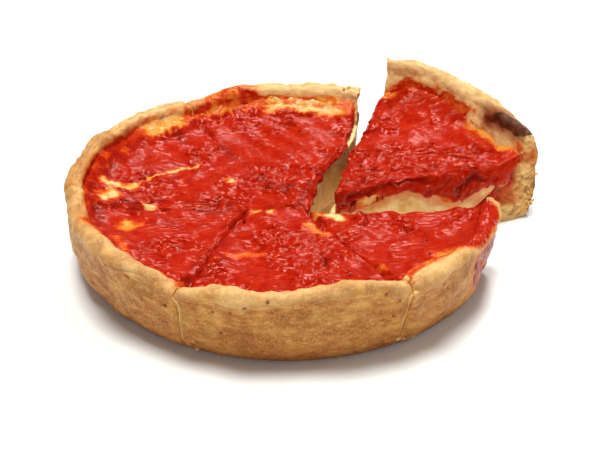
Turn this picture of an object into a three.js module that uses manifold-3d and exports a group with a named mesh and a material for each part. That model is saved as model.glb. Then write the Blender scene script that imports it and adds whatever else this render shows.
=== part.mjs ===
// A ten inch deep dish pizza cut into six slices, with one slice drawn part-way out of its gap.
// Each slice is three solids: the crust (base and wall), the cheese it holds, and the tomato sauce on top.
// Millimetres, +Z up. The pizza stands on z = 0, and the origin is under the middle of the whole arrangement.
import * as THREE from "three";
import { mergeVertices } from "three/addons/utils/BufferGeometryUtils.js";
import Module from "manifold-3d";

const wasm = await Module();
wasm.setup();

// ---- driving dimensions ----
const pizzaCentre = new THREE.Vector2(-11.5, -12.9); // centre of the round crust
const lipRadius = 125; // outside of the crust at its lip
const bellyRadius = 120; // outside of the crust half-way up its wall
const footRadius = 110; // outside of the crust where it leaves the table
const crestHeight = 51; // top of the wall, before it waves
const wallHeights = { foot: 2.8, flare: 13, belly: 31 }; // of three points up the outside of the wall
const flareShare = 0.55; // how much of the way from foot to belly the flare has come
const underside = { inset: 6, roundInset: 2, roundRise: 0.7 }; // its flat part, and the rounding at the foot
const lipThickness = 9.6;
const baseThickness = 7.2; // bottom crust
const sauceHeight = 36.6; // sauce above the table at the middle
const sauceClimb = 4; // how far the filling rises towards the wall
const climbRadius = 110; // where it has risen by that much
const sauceThickness = 5.2;
const pulledSauceThickness = 7.5; // the sauce has slid and gathered on the loose slice
const layerGap = 0.4; // clearance between neighbouring solids
const knifeGap = 0.9; // width of a knife cut

const pulledCentre = new THREE.Vector2(22, 27); // how far the loose slice has been drawn out
const pulledSag = { foot: 15, belly: 10 }; // how far its wall has slumped outwards
const pulledRise = 4.5; // how much taller its wall stands

const turns = 72; // facets round the crust
const sauceRings = 17; // facets across the sauce
const cutSteps = 12; // straight stretches in a knife cut

// ---- small helpers ----
const radians = THREE.MathUtils.degToRad;
const { smoothstep, lerp } = THREE.MathUtils;
const point = (x, y) => new THREE.Vector2(x, y);
const onCircle = (radius, degrees) =>
  point(radius * Math.cos(radians(degrees)), radius * Math.sin(radians(degrees)));

// A smooth hump of height 1 at `centre`, fading over `width`, all in degrees round the crust.
function hump(angle, centre, width) {
  const away = ((((angle - centre) % 360) + 540) % 360) - 180;
  return Math.exp(-((away / width) ** 2));
}

const wave = (angle, count, phase) => Math.sin(count * radians(angle) + phase);
const backwards = (points) => [...points].reverse();

// ---- the hand-shaped crust: how its height and radius change round the pizza ----
// Rises and dips along the top of the round crust: place and width in degrees, and height in millimetres.
const crestHumps = [
  { at: -74, width: 9, rise: 6.3 }, // tallest stretch, at the front
  { at: 80, width: 18, rise: 2.2 }, // beside the gap
  { at: 118, width: 7, rise: -3.5 }, // by the back cut
  { at: 197, width: 7, rise: -5.5 }, // low notch on the left
  { at: 222, width: 12, rise: 1.5 },
  { at: 243.5, width: 5, rise: -5 }, // by the front left cut
  { at: 300, width: 5, rise: -2.5 }, // by the front right cut
  { at: 352, width: 22, rise: -4.5 }, // the low right side, where sauce has run over
];
const crestTilt = 2.6; // the crust stands higher at the back right
const unevenCrest = (angle) =>
  crestHeight + crestTilt * wave(angle, 1, radians(-35)) + 0.6 * wave(angle, 7, 1) + 0.4 * wave(angle, 13, 2);
const roundCrust = {
  footRadius,
  bellyRadius,
  sauceThickness,
  height: (angle) =>
    crestHumps.reduce(
      (height, { at, width, rise }) => height + rise * hump(angle, at, width),
      unevenCrest(angle),
    ),
  footBulge: (angle) => 7 * hump(angle, 180, 38),
  lipBulge: (angle) => 0.7 * wave(angle, 5, 0.7) - hump(angle, 180, 30) - 7.5 * hump(angle, -10, 24),
};

// The loose slice's wall is higher towards its left end.
const pulledCrust = {
  footRadius: footRadius + pulledSag.foot,
  bellyRadius: bellyRadius + pulledSag.belly,
  sauceThickness: pulledSauceThickness,
  height: (angle) =>
    crestHeight +
    pulledRise +
    3 * smoothstep(angle, 12, 30) +
    6.5 * smoothstep(angle, 40, 66) +
    0.5 * wave(angle, 9, 1),
  footBulge: () => 0,
  lipBulge: (angle) => 1.5 * hump(angle, 60, 20) + 0.4 * wave(angle, 7, 2),
};

// ---- reference sections, as (radius, height) before the crust's waves are added ----
const lipCentreHeight = crestHeight - lipThickness / 2;

// The inside of the crust, from the middle of the base up to the lip.
const lipInside = lipRadius - lipThickness;
const insideOfCrust = [
  point(74, baseThickness),
  point(88, 11.5),
  point(97.5, 19.5),
  point(106.5, 31.5),
  point(110.6, 37.5),
  point(lipInside - 1.7, 42.3),
  point(lipInside, lipCentreHeight),
];
const cheeseLine = 4; // how many of these points the cheese lies against

// The radius of that inside at a height on its slope.
function insideRadiusAt(height) {
  const next = insideOfCrust.findIndex((p) => p.y > height);
  const [low, high] = insideOfCrust.slice(next - 1, next + 1);
  return lerp(low.x, high.x, (height - low.y) / (high.y - low.y));
}

function crustSection(crust) {
  const lip = new THREE.Path()
    .absarc(lipRadius - lipThickness / 2, lipCentreHeight, lipThickness / 2, 0, Math.PI)
    .getPoints(5);
  const outside = new THREE.SplineCurve([
    point(crust.footRadius, wallHeights.foot),
    point(lerp(crust.footRadius, crust.bellyRadius, flareShare), wallHeights.flare),
    point(crust.bellyRadius, wallHeights.belly),
    lip[0],
  ]).getPoints(6);
  return [
    point(0, 0),
    point(crust.footRadius - underside.inset, 0),
    point(crust.footRadius - underside.roundInset, underside.roundRise),
    ...outside.slice(0, -1),
    ...lip.slice(0, -1),
    ...backwards(insideOfCrust),
    point(0, baseThickness),
  ];
}

const sauceTopAt = (radius) => sauceHeight + sauceClimb * (radius / climbRadius) ** 4;
const cheeseTopAt = (radius, crust) => sauceTopAt(radius) - crust.sauceThickness;
const sauceRadius = 110.9;
const sauceShoulder = point(109.1, 36.4); // where the sauce's edge turns up the wall
const sharedRings = [92, 74, 50, 0]; // where cheese and sauce meet

// The rings of the cheese's top, from its edge by the wall to the middle.
function cheeseRings(crust) {
  const edge = insideRadiusAt(cheeseTopAt(sauceShoulder.x, crust)) - 2 * layerGap;
  return [edge, ...sharedRings].map((r) => point(r, cheeseTopAt(r, crust)));
}

function cheeseSection(crust) {
  const against = insideOfCrust
    .slice(0, cheeseLine)
    .map((p) => point(p.x - layerGap, p.y + layerGap));
  return [
    point(0, baseThickness + layerGap),
    ...against,
    ...cheeseRings(crust),
  ];
}

function sauceSection(crust) {
  const under = backwards(cheeseRings(crust)).map((p) => point(p.x, p.y + layerGap));
  const top = Array.from({ length: sauceRings + 1 }, (_, i) => {
    const r = sauceRadius * (1 - i / sauceRings);
    return point(r, sauceTopAt(r));
  });
  return [...under, sauceShoulder, ...top];
}

// ---- waves that are added to a revolved section ----
const wallStart = 85; // radius where the base begins to turn up into the wall
const wallFull = 119; // radius from which the wall takes its whole bulge
const stillBelow = 26; // height below which the crest's rises and dips have died out
const lumpFade = { from: 96, to: 110, share: 0.7 }; // how the sauce's lumps flatten towards the wall
const topDepth = 0.5; // what lies this close under the sauce's even height is its top

// Low lumps of crushed tomato, about 14 mm apart.
function sauceLumps(x, y) {
  return (
    0.7 * Math.sin(x / 4.6 + 1.7 * Math.sin(y / 11)) * Math.sin(y / 5.1 + 1.3 * Math.sin(x / 13)) +
    0.6 * Math.sin(x / 9.3 - y / 12.7 + 0.8) +
    0.4 * Math.sin(x / 3.1 + y / 3.7)
  );
}

// Revolves a section and bends it to the crust's height and radius at each angle.
// A lumpy section gets lumps on its top.
function revolve(section, crust, lumpy = false) {
  const geometry = new THREE.LatheGeometry(section, turns).rotateX(Math.PI / 2);
  const position = geometry.getAttribute("position");
  for (let i = 0; i < position.count; i++) {
    const x = position.getX(i);
    const y = position.getY(i);
    const z = position.getZ(i);
    const r = Math.hypot(x, y);
    const angle = THREE.MathUtils.radToDeg(Math.atan2(y, x));
    const nearWall = smoothstep(r, wallStart, wallFull);
    const upWall = (z / crestHeight) ** 2;
    const kneading = 0.7 * wave(angle, 9, z / 9) + 0.45 * wave(angle, 17, -z / 6);
    const bulge = lerp(crust.footBulge(angle), crust.lipBulge(angle), upWall);
    const out = nearWall * (bulge + kneading * smoothstep(z, 0, 12));
    const up = (crust.height(angle) - crestHeight) * nearWall * smoothstep(z, stillBelow, crestHeight);
    const flatter = lumpFade.share * smoothstep(r, lumpFade.from, lumpFade.to);
    const onTop = lumpy && z > sauceTopAt(r) - topDepth ? 1 - flatter : 0;
    const grow = r > 0 ? (r + out) / r : 1;
    position.setXYZ(i, x * grow, y * grow, z + up + onTop * sauceLumps(x, y));
  }
  return solidOf(geometry);
}

// ---- between three.js geometry and closed solids ----
function solidOf(geometry) {
  const bare = geometry.clone();
  for (const name of ["normal", "uv"]) bare.deleteAttribute(name);
  const merged = mergeVertices(bare, 1e-3);
  return new wasm.Manifold(
    new wasm.Mesh({
      numProp: 3,
      vertProperties: new Float32Array(merged.getAttribute("position").array),
      triVerts: new Uint32Array(merged.index.array),
    }),
  );
}

function geometryOf(solid) {
  const mesh = solid.getMesh();
  const geometry = new THREE.BufferGeometry();
  geometry.setAttribute("position", new THREE.BufferAttribute(mesh.vertProperties, 3));
  geometry.setIndex(new THREE.BufferAttribute(mesh.triVerts, 1));
  const faceted = geometry.toNonIndexed();
  faceted.computeVertexNormals();
  return faceted;
}

// ---- the knife cuts, seen from above ----
// A cut runs from `start` to the rim at `degrees`. It bows to its left by `bow` in the middle, swings
// left and then right by `sway`, and has a small ripple.
const rippleSize = 0.5;
const cutOvershoot = 6; // how far each cut runs on past the lip

function knifeCut(start, degrees, bow, sway) {
  const end = onCircle(lipRadius + cutOvershoot, degrees);
  const side = point(-(end.y - start.y), end.x - start.x).normalize();
  return Array.from({ length: cutSteps + 1 }, (_, i) => {
    const t = i / cutSteps;
    const ripple = rippleSize * Math.sin(5 * Math.PI * t + degrees) * Math.sin(Math.PI * t);
    const away = bow * Math.sin(Math.PI * t) + sway * Math.sin(2 * Math.PI * t) + ripple;
    return start.clone().lerp(end, t).addScaledVector(side, away);
  });
}

// The stretch well outside the crust that joins the ends of two cuts.
const clearOfCrust = 150;

function outerArc(from, to) {
  const steps = Math.ceil((to - from) / 12);
  return Array.from({ length: steps + 1 }, (_, i) => onCircle(clearOfCrust, lerp(from, to, i / steps)));
}

// Moves every edge of a counter-clockwise loop inwards by the same distance.
function inset(loop, distance) {
  const normals = loop.map((p, i) => {
    const q = loop[(i + 1) % loop.length];
    return point(p.y - q.y, q.x - p.x).normalize();
  });
  return loop.map((p, i) => {
    const before = normals[(i + loop.length - 1) % loop.length];
    const after = normals[i];
    const mitre = before.clone().add(after);
    return p.clone().addScaledVector(mitre, (2 * distance) / mitre.lengthSq());
  });
}

// The upright prism over a slice's plan, from well below the table to well above the crust.
function wedge(loop) {
  const shape = new THREE.Shape(inset(loop, knifeGap / 2));
  const prism = new THREE.ExtrudeGeometry(shape, { depth: 2 * crestHeight, bevelEnabled: false });
  return solidOf(prism.translate(0, 0, -crestHeight / 2));
}

const cutCentre = point(11, -12); // where the cuts meet
const rim = { gapLeft: 70, back: 123, left: 184.5, frontLeft: 243.5, frontRight: 300, gapRight: 354 };
const cut = {
  gapLeft: knifeCut(cutCentre, rim.gapLeft, 0, 4),
  back: knifeCut(cutCentre, rim.back, 0, 1),
  left: knifeCut(cutCentre, rim.left, 0, -0.8),
  frontRight: knifeCut(cutCentre, rim.frontRight, 0, -1),
  gapRight: knifeCut(cutCentre, rim.gapRight, 0, -1.5),
};
const shortCutStart = 3; // the front left cut stops on the left one, three steps from the middle
cut.frontLeft = knifeCut(cut.left[shortCutStart], rim.frontLeft, 0, -1);

const slicePlans = {
  slice_2: [...cut.gapLeft, ...outerArc(rim.gapLeft, rim.back), ...backwards(cut.back).slice(0, -1)],
  slice_3: [...cut.back, ...outerArc(rim.back, rim.left), ...backwards(cut.left).slice(0, -1)],
  slice_4: [
    ...cut.left.slice(shortCutStart),
    ...outerArc(rim.left, rim.frontLeft),
    ...backwards(cut.frontLeft).slice(0, -1),
  ],
  slice_5: [
    ...cut.frontLeft,
    ...outerArc(rim.frontLeft, rim.frontRight),
    ...backwards(cut.frontRight),
    ...cut.left.slice(1, shortCutStart),
  ],
  slice_6: [
    ...cut.frontRight,
    ...outerArc(rim.frontRight, rim.gapRight),
    ...backwards(cut.gapRight).slice(0, -1),
  ],
};

// The loose slice, about the centre of its own crust.
const pulledTip = point(4, -20);
const pulledRim = { right: 9.6, left: 71 };
const pulledCuts = {
  right: knifeCut(pulledTip, pulledRim.right, 0, 3.5),
  left: knifeCut(pulledTip, pulledRim.left, 3.5, 0.5),
};
const pulledPlan = [
  ...pulledCuts.right,
  ...outerArc(pulledRim.right, pulledRim.left),
  ...backwards(pulledCuts.left).slice(0, -1),
];

// ---- materials ----
const material = {
  crust: new THREE.MeshStandardMaterial({ color: 0xd9ae6c, roughness: 0.75, metalness: 0 }),
  cheese: new THREE.MeshStandardMaterial({ color: 0xe6cf98, roughness: 0.5, metalness: 0 }),
  sauce: new THREE.MeshStandardMaterial({ color: 0xc8200c, roughness: 0.3, metalness: 0 }),
};

// ---- the slices ----
function layersOf(crust) {
  return {
    crust: revolve(crustSection(crust), crust),
    cheese: revolve(cheeseSection(crust), crust),
    sauce: revolve(sauceSection(crust), crust, true),
  };
}

function makeSlice(name, plan, layers) {
  const slice = new THREE.Group();
  const knife = wedge(plan);
  for (const [layer, whole] of Object.entries(layers)) {
    const mesh = new THREE.Mesh(geometryOf(whole.intersect(knife)), material[layer]);
    mesh.name = `${name}_${layer}`;
    slice.add(mesh);
  }
  return slice;
}

const pizza = new THREE.Group();
pizza.position.set(pizzaCentre.x, pizzaCentre.y, 0);

const pulledSlice = makeSlice("slice_1", pulledPlan, layersOf(pulledCrust));
pulledSlice.position.set(pulledCentre.x, pulledCentre.y, 0);
pizza.add(pulledSlice);

const roundLayers = layersOf(roundCrust);
for (const [name, plan] of Object.entries(slicePlans)) pizza.add(makeSlice(name, plan, roundLayers));

const deepDishPizza = new THREE.Group();
deepDishPizza.add(pizza);

export default deepDishPizza;
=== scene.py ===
import bpy
import numpy as np
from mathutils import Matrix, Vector


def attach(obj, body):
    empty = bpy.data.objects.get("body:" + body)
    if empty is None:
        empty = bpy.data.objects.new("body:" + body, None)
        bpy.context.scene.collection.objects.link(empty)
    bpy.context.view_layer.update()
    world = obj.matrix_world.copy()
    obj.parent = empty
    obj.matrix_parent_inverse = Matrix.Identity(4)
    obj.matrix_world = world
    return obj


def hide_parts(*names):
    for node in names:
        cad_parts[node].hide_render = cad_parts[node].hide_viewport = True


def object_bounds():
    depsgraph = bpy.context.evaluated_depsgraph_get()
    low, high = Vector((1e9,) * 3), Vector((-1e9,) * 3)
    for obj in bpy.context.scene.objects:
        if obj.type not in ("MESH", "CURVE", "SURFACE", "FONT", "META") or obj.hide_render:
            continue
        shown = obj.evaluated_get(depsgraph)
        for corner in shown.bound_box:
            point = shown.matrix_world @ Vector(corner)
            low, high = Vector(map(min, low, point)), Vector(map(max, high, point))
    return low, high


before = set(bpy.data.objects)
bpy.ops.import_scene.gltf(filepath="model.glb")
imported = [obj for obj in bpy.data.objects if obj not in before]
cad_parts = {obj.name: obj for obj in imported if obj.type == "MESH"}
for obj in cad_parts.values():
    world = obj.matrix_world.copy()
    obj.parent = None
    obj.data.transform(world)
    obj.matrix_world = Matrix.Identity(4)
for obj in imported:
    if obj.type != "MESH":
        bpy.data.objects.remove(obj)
cadBox = [[float(v) for v in corner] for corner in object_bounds()]
print("frame loaded,", len(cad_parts), "nodes")

# Lengths are millimetres about the centre of a round crust. makeMesh turns them into the frame's metres.
pizza = {
    "centre": (-11.5, -12.9),
    "pulledCentre": (22, 27),  # how far the loose slice has been drawn out
    "lipRadius": 125,
    "lipThickness": 9.6,
    "crestHeight": 51,
    "wallRadius": 121,  # turns degrees into mm round the outer wall
    "flatBase": 74,  # the base is flat out to this radius
    "baseThickness": 7.2,
    "sauceHeight": 36.6,
    "sauceClimb": 4,  # how much higher the sauce lies at its radius than in the middle
    "sauceRadius": 110,
    "layerGap": 0.4,
    "knifeGap": 0.9,
    "cutCentre": (11, -12),
    "cutReach": 131,  # the cuts end on a circle of this radius
    "cutLength": 130,
}
mmRound = np.radians(1) * pizza["wallRadius"]  # mm round the wall for each degree
farAway = 99  # mm, where no cut is near


def smooth(x, low, high):  # 0 below low, 1 above high, an S between them
    t = np.clip((x - low) / (high - low), 0, 1)
    return t * t * (3 - 2 * t)


def fade(x, low, high):  # 1 below low, 0 above high
    return 1 - smooth(x, low, high)


def lerp(p, q, t):
    return p + (q - p) * t


def bell(x, width, power=2):  # 1 at nought, falling off on both sides; a higher power makes it flatter on top
    return np.exp(-(x / width) ** power)


def angleOf(x, y):  # degrees round the pizza, from 0 to 360
    return np.degrees(np.arctan2(y, x)) % 360


def hump(angle, centre, width):  # a bell round the crust, in degrees
    return bell((angle - centre + 180) % 360 - 180, width)


def between(angle, low, high, soft):  # 1 between two angles, fading over soft degrees
    away = (angle - (low + high) / 2 + 180) % 360 - 180
    return fade(np.abs(away), (high - low) / 2 - soft / 2, (high - low) / 2 + soft / 2)


def wave(angle, count, phase):
    return np.sin(count * np.radians(angle) + phase)


def hashed(ix, iy, iz, seed):  # whole numbers scrambled to an even spread from 0 to 1
    h = ix * 374761393 + iy * 668265263 + iz * 2147483647 + seed * 974634777
    h = (h ^ (h >> 13)) * 1274126177
    return ((h ^ (h >> 16)) & 0xFFFFFF) / 0xFFFFFF


def noise(p, size, seed):
    # hashed values on a cubic lattice of the given size in mm, blended by S curves, from -1 to 1
    cell = np.floor(p / size).astype(np.int64)
    t = p / size - cell
    t = t * t * (3 - 2 * t)
    total = np.zeros(len(p))
    for corner in range(8):
        step = np.array([corner & 1, corner >> 1 & 1, corner >> 2])
        weight = np.prod(np.where(step, t, 1 - t), axis=1)
        total += weight * hashed(*(cell + step).T, seed)
    return 2 * total - 1


def ridged(p, size, seed):  # crisp crests between round hollows, from 0 to 1
    return (1 - np.abs(noise(p, size, seed))) ** 2


def fractal(p, size, seed, octaves=3):  # noise added to itself at half the size and half the height
    return sum(0.5 ** k * noise(p, size / 2 ** k, seed + k) for k in range(octaves))


def cells(p, size, seed):
    # distance to the nearest of points scattered one to a square cell, in cells, and that cell's own number
    flat = p[:, :2] / size
    cell = np.floor(flat).astype(np.int64)
    best = np.full(len(p), 9.0)
    own = np.zeros(len(p))
    level = np.zeros(len(p), np.int64)
    for dx in (-1, 0, 1):
        for dy in (-1, 0, 1):
            ix, iy = cell[:, 0] + dx, cell[:, 1] + dy
            jitter = np.stack([hashed(ix, iy, level, seed), hashed(ix, iy, level, seed + 1)], -1)
            away = np.hypot(*(np.stack([ix, iy], -1) + jitter - flat).T)
            own = np.where(away < best, hashed(ix, iy, level, seed + 2), own)
            best = np.minimum(best, away)
    return best, own


def nearLine(u, v, line):  # least distance from each point to a run of straight stretches
    best = np.full(u.shape, 1e9)
    line = np.array(line, float)
    if len(line) == 1:
        line = np.repeat(line, 2, 0)
    for (u0, v0), (u1, v1) in zip(line[:-1], line[1:]):
        du, dv = u1 - u0, v1 - v0
        t = np.clip(((u - u0) * du + (v - v0) * dv) / max(du * du + dv * dv, 1e-9), 0, 1)
        best = np.minimum(best, np.hypot(u - u0 - t * du, v - v0 - t * dv))
    return best


def alongWall(angle, up, line):  # the same on the unrolled wall, for a line of angles and heights
    return nearLine(angle * mmRound, up, [(at * mmRound, height) for at, height in line])


# the crust's height and radius round the pizza, as in the solids: centre and width in degrees, and mm of rise
crestHumps = [
    (-74, 9, 6.3), (80, 18, 2.2), (118, 7, -3.5), (197, 7, -5.5),
    (222, 12, 1.5), (243.5, 5, -5), (300, 5, -2.5), (352, 22, -4.5),
]
roundCrust = {
    "kind": "round",
    "footRadius": 110,
    "bellyRadius": 120,
    "sauceThickness": 5.2,
    "climb": 4.8,
    "offset": (0, 0),
    "height": lambda angle: pizza["crestHeight"] + 2.6 * wave(angle, 1, np.radians(-35))
    + 0.6 * wave(angle, 7, 1) + 0.4 * wave(angle, 13, 2)
    + sum(rise * hump(angle, at, width) for at, width, rise in crestHumps),
    "footBulge": lambda angle: 7 * hump(angle, 180, 38),
    "lipBulge": lambda angle: 0.7 * wave(angle, 5, 0.7) - hump(angle, 180, 30) - 7.5 * hump(angle, -10, 24),
}
pulledCrust = {
    "kind": "pulled",
    "footRadius": 125,
    "bellyRadius": 130,
    "sauceThickness": 7.5,
    "climb": 1.2,
    "offset": pizza["pulledCentre"],
    "height": lambda angle: 55.5 + 3 * smooth(angle, 12, 30) + 6.5 * smooth(angle, 40, 66)
    + 0.5 * wave(angle, 9, 1),
    "footBulge": lambda angle: 0 * angle,
    "lipBulge": lambda angle: 1.5 * hump(angle, 60, 20) + 0.4 * wave(angle, 7, 2),
}


def bend(crust, x, y, z):
    # moves a point of the plain turned section out and up by the crust's bulge, kneading and crest there
    r = np.hypot(x, y)
    angle = np.degrees(np.arctan2(y, x))
    crest = pizza["crestHeight"]
    nearWall = smooth(r, 85, 119)
    kneading = 0.7 * wave(angle, 9, z / 9) + 0.45 * wave(angle, 17, -z / 6)
    bulge = lerp(crust["footBulge"](angle), crust["lipBulge"](angle), (z / crest) ** 2)
    out = nearWall * (bulge + kneading * smooth(z, 0, 12))
    up = (crust["height"](angle) - crest) * nearWall * smooth(z, 26, crest)
    grow = (r + out) / np.maximum(r, 0.01)
    return x * grow, y * grow, z + up


def sauceLumps(x, y):  # the solids' own low lumps, about 14 mm apart
    return (0.7 * np.sin(x / 4.6 + 1.7 * np.sin(y / 11)) * np.sin(y / 5.1 + 1.3 * np.sin(x / 13))
            + 0.6 * np.sin(x / 9.3 - y / 12.7 + 0.8) + 0.4 * np.sin(x / 3.1 + y / 3.7))


def sauceTopAt(r):
    return pizza["sauceHeight"] + pizza["sauceClimb"] * (r / pizza["sauceRadius"]) ** 4


def cutPoint(cut, t):
    # a straight line from the start to the rim, moved sideways by half a wave, a whole wave and a ripple
    start = np.array(cut["start"], float)
    end = pizza["cutReach"] * np.array([np.cos(np.radians(cut["rim"])), np.sin(np.radians(cut["rim"]))])
    along = end - start
    side = np.array([-along[1], along[0]]) / np.hypot(*along)
    ripple = 0.5 * np.sin(5 * np.pi * t + cut["rim"]) * np.sin(np.pi * t)
    away = cut["bow"] * np.sin(np.pi * t) + cut["sway"] * np.sin(2 * np.pi * t) + ripple
    return start + np.multiply.outer(t, along) + np.multiply.outer(away, side)


# knife cuts: where each starts, its end angle on the rim, how far it bows and sways sideways in mm, how deep
# the sauce sinks into it, whether the slices beside it have parted, and how far the sauce's face is set back
middle, pulledTip = pizza["cutCentre"], (4, -20)
cuts = {
    "gapLeft": {"start": middle, "rim": 70, "bow": 0, "sway": 4, "groove": 2.2, "open": True, "setBack": 2.6},
    "back": {"start": middle, "rim": 123, "bow": 0, "sway": 1, "groove": 0.35, "open": False},
    "left": {"start": middle, "rim": 184.5, "bow": 0, "sway": -0.8, "groove": 1.3, "open": False},
    "frontRight": {"start": middle, "rim": 300, "bow": 0, "sway": -1, "groove": 1.5, "open": False},
    "gapRight": {"start": middle, "rim": 354, "bow": 0, "sway": -1.5, "groove": 2.0, "open": True},
    "pulledRight": {"start": pulledTip, "rim": 9.6, "bow": 0, "sway": 3.5, "groove": 2.2, "open": True},
    "pulledLeft": {"start": pulledTip, "rim": 71, "bow": 3.5, "sway": 0.5, "groove": 2.2, "open": True},
}
leftTip = tuple(cutPoint(cuts["left"], np.array(0.25)))  # the front left cut branches off the left one
cuts["frontLeft"] = {"start": leftTip, "rim": 243.5, "bow": 0, "sway": -1, "groove": 2.3, "open": False}
slices = {  # rightFrom is how far along its right cut a slice starts, and blunt how many mm its tip lacks
    "slice_1": {"crust": pulledCrust, "right": "pulledRight", "left": "pulledLeft", "baseSteps": 60},
    "slice_2": {"crust": roundCrust, "right": "gapLeft", "left": "back", "baseSteps": 60},
    "slice_3": {"crust": roundCrust, "right": "back", "left": "left", "baseSteps": 24},
    "slice_4": {"crust": roundCrust, "right": "left", "left": "frontLeft", "baseSteps": 24,
                "rightFrom": 0.25},
    "slice_5": {"crust": roundCrust, "right": "frontLeft", "left": "frontRight", "baseSteps": 24,
                "blunt": 0.1},
    "slice_6": {"crust": roundCrust, "right": "frontRight", "left": "gapRight", "baseSteps": 40},
}


def planOf(cutSlice, a, reach, outRight=0, outLeft=0, over=2.5):
    # a runs from the right cut to the left one. Lines from the blunt tip to the rim carry the reach, each is
    # moved sideways by its share of both cuts' curves, and near the wall it is scaled back to its circle.
    # outRight and outLeft push the cut faces outwards by so many mm, fading over so many mm more.
    # Returns x, y, the slice's width there and how far along its line each point lies.
    right, left = cuts[cutSlice["right"]], cuts[cutSlice["left"]]
    blunt = cutSlice.get("blunt", 1.2) / pizza["cutLength"]
    fromRight, fromLeft = cutSlice.get("rightFrom", 0) + blunt, blunt
    tipRight, tipLeft = cutPoint(right, np.array(fromRight)), cutPoint(left, np.array(fromLeft))
    endRight, endLeft = cutPoint(right, np.array(1.0)), cutPoint(left, np.array(1.0))
    tip = lerp(tipRight, tipLeft, a[:, None])
    turn = np.radians(lerp(right["rim"], left["rim"] + 360 * (left["rim"] < right["rim"]), a))
    end = pizza["cutReach"] * np.stack([np.cos(turn), np.sin(turn)], -1)
    along = end - tip

    def stepTo(radius):  # how far along its line each point meets a circle
        tipAlong, square = (tip * along).sum(1), (along ** 2).sum(1)
        return (-tipAlong + np.sqrt(tipAlong ** 2 - square * ((tip ** 2).sum(1) - radius ** 2))) / square

    turnReach = 70  # circles from here on, and even steps before
    near, far = reach / turnReach * stepTo(turnReach), stepTo(np.maximum(reach, turnReach))
    s = np.where(reach < turnReach, near, far)
    offRight = cutPoint(right, lerp(fromRight, 1, s)) - lerp(tipRight, endRight, s[:, None])
    offLeft = cutPoint(left, lerp(fromLeft, 1, s)) - lerp(tipLeft, endLeft, s[:, None])
    p = tip + s[:, None] * along + (1 - a[:, None]) ** 1.5 * offRight + a[:, None] ** 1.5 * offLeft
    width = np.hypot(*(cutPoint(left, lerp(fromLeft, 1, s)) - cutPoint(right, lerp(fromRight, 1, s))).T)
    lineRight, lineLeft = endRight - tipRight, endLeft - tipLeft
    for outBy, away, line, way in ((outRight, a, lineRight, 1), (outLeft, 1 - a, lineLeft, -1)):
        outward = way * np.array([line[1], -line[0]]) / np.hypot(*line)
        share = np.exp(-away * width / over) * smooth(s, 0, 0.04)
        p = p + (outBy * share)[:, None] * outward
    onRing = smooth(reach, 55, 85)
    length = np.hypot(*p.T)
    p = p * lerp(1, reach / np.maximum(length, 1), onRing)[:, None]
    return p[:, 0], p[:, 1], width, s


def block(stepsA, stepsB, stepsC):
    # the skin of a lattice of stepsA x stepsB x stepsC points: each point's three indices, and quads
    shape = (stepsA, stepsB, stepsC)
    skin = np.zeros(shape, bool)
    skin[[0, -1]] = skin[:, [0, -1]] = skin[:, :, [0, -1]] = True
    ids = np.full(shape, -1)
    ids[skin] = np.arange(skin.sum())
    sides = [
        (ids[:, :, 0], False), (ids[:, :, -1], True),
        (ids[0], False), (ids[-1], True),
        (ids[:, 0], True), (ids[:, -1], False),
    ]
    quads = []
    for grid, turned in sides:
        quad = np.stack([grid[:-1, :-1], grid[1:, :-1], grid[1:, 1:], grid[:-1, 1:]], -1).reshape(-1, 4)
        quads.append(quad[:, ::-1] if turned else quad)
    return np.nonzero(skin), np.concatenate(quads)


def sliceBlock(cutSlice, across, along, thick):
    # a block for one slice: each point's share a from cut to cut, finer towards them, its share c from the
    # lower to the upper line, its index along, whether it is nearer the right cut, on a cut face, at the gap
    (ia, ib, ic), quads = block(across, along, thick)
    even = np.linspace(0, 1, across)
    a, c = lerp(even, smooth(even, 0, 1), 0.45)[ia], np.linspace(0, 1, thick)[ic]
    atRight = ia < across / 2
    cutFace = (ia == 0) | (ia == across - 1)
    isOpen = np.where(atRight, cuts[cutSlice["right"]]["open"], cuts[cutSlice["left"]]["open"])
    return a, c, ib, atRight, cutFace, isOpen, quads


def roundEdges(a, c, radiusA, radiusC):
    # rounds the four long edges of the block: near an edge both faces bend to one quarter of an ellipse
    foldA, foldC = np.minimum(a, 1 - a), np.minimum(c, 1 - c)
    signA, signC = np.where(a < 0.5, 1, -1), np.where(c < 0.5, 1, -1)
    onC = foldC < 1e-9
    onA = (foldA < 1e-9) & ~onC
    tA = np.clip(foldA / radiusA, 0, 1)
    tC = np.clip(foldC / radiusC, 0, 1)
    turn = np.where(onC, np.pi / 4 * (1 + tA), np.pi / 4 * (1 - tC))
    near = (onC & (foldA < radiusA)) | (onA & (foldC < radiusC))
    newA = np.where(near, radiusA * (1 - np.cos(turn)), foldA)
    newC = np.where(near, radiusC * (1 - np.sin(turn)), foldC)
    return np.where(signA > 0, newA, 1 - newA), np.where(signC > 0, newC, 1 - newC)


def faceNormals(points, quads):
    p = points[quads]
    return np.cross(p[:, 2] - p[:, 0], p[:, 3] - p[:, 1])


def vertexNormals(points, quads):  # mean of the faces round each vertex, by area
    n = faceNormals(points, quads)
    total = np.stack([np.bincount(quads.ravel(), np.repeat(n[:, k], 4), len(points)) for k in range(3)], -1)
    return total / np.maximum(np.linalg.norm(total, axis=1, keepdims=True), 1e-12)


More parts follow.
